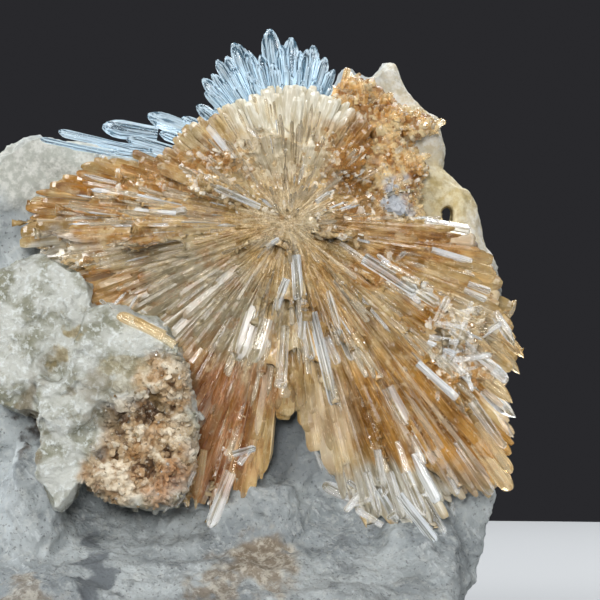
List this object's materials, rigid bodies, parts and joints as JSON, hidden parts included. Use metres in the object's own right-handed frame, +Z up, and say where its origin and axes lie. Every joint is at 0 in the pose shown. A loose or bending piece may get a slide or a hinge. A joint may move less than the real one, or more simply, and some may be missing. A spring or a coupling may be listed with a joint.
{
  "type": "creedite crystal specimen",
  "caption": "Radiating spray of creedite prisms on a pale matrix rock, with a chalky lump and a rusty crust, standing on its flat base.",
  "frame": {"origin": "middle of the bounding box's bottom face, on the flat foot of the rock", "axes": "+Z up, +X to the right of a viewer who faces the spray, +Y away from that viewer"},
  "size_m": [0.0439, 0.0279, 0.0489],
  "materials": {
    "matrix_rock": "rough mottled grey-white",
    "chalky_lump": "chalky, partly rust-stained",
    "rusty_crust": "granular orange-brown",
    "main_spray": "honey-coloured, glassy, streaked",
    "clear_fan": "clear, colourless, polished crystal faces"
  },
  "bodies": {
    "root": {"matrix_rock": "matrix_rock", "chalky_lump": "chalky_lump", "rusty_crust": "rusty_crust", "main_spray": "main_spray", "clear_fan": "clear_fan"}
  },
  "joints": []
}
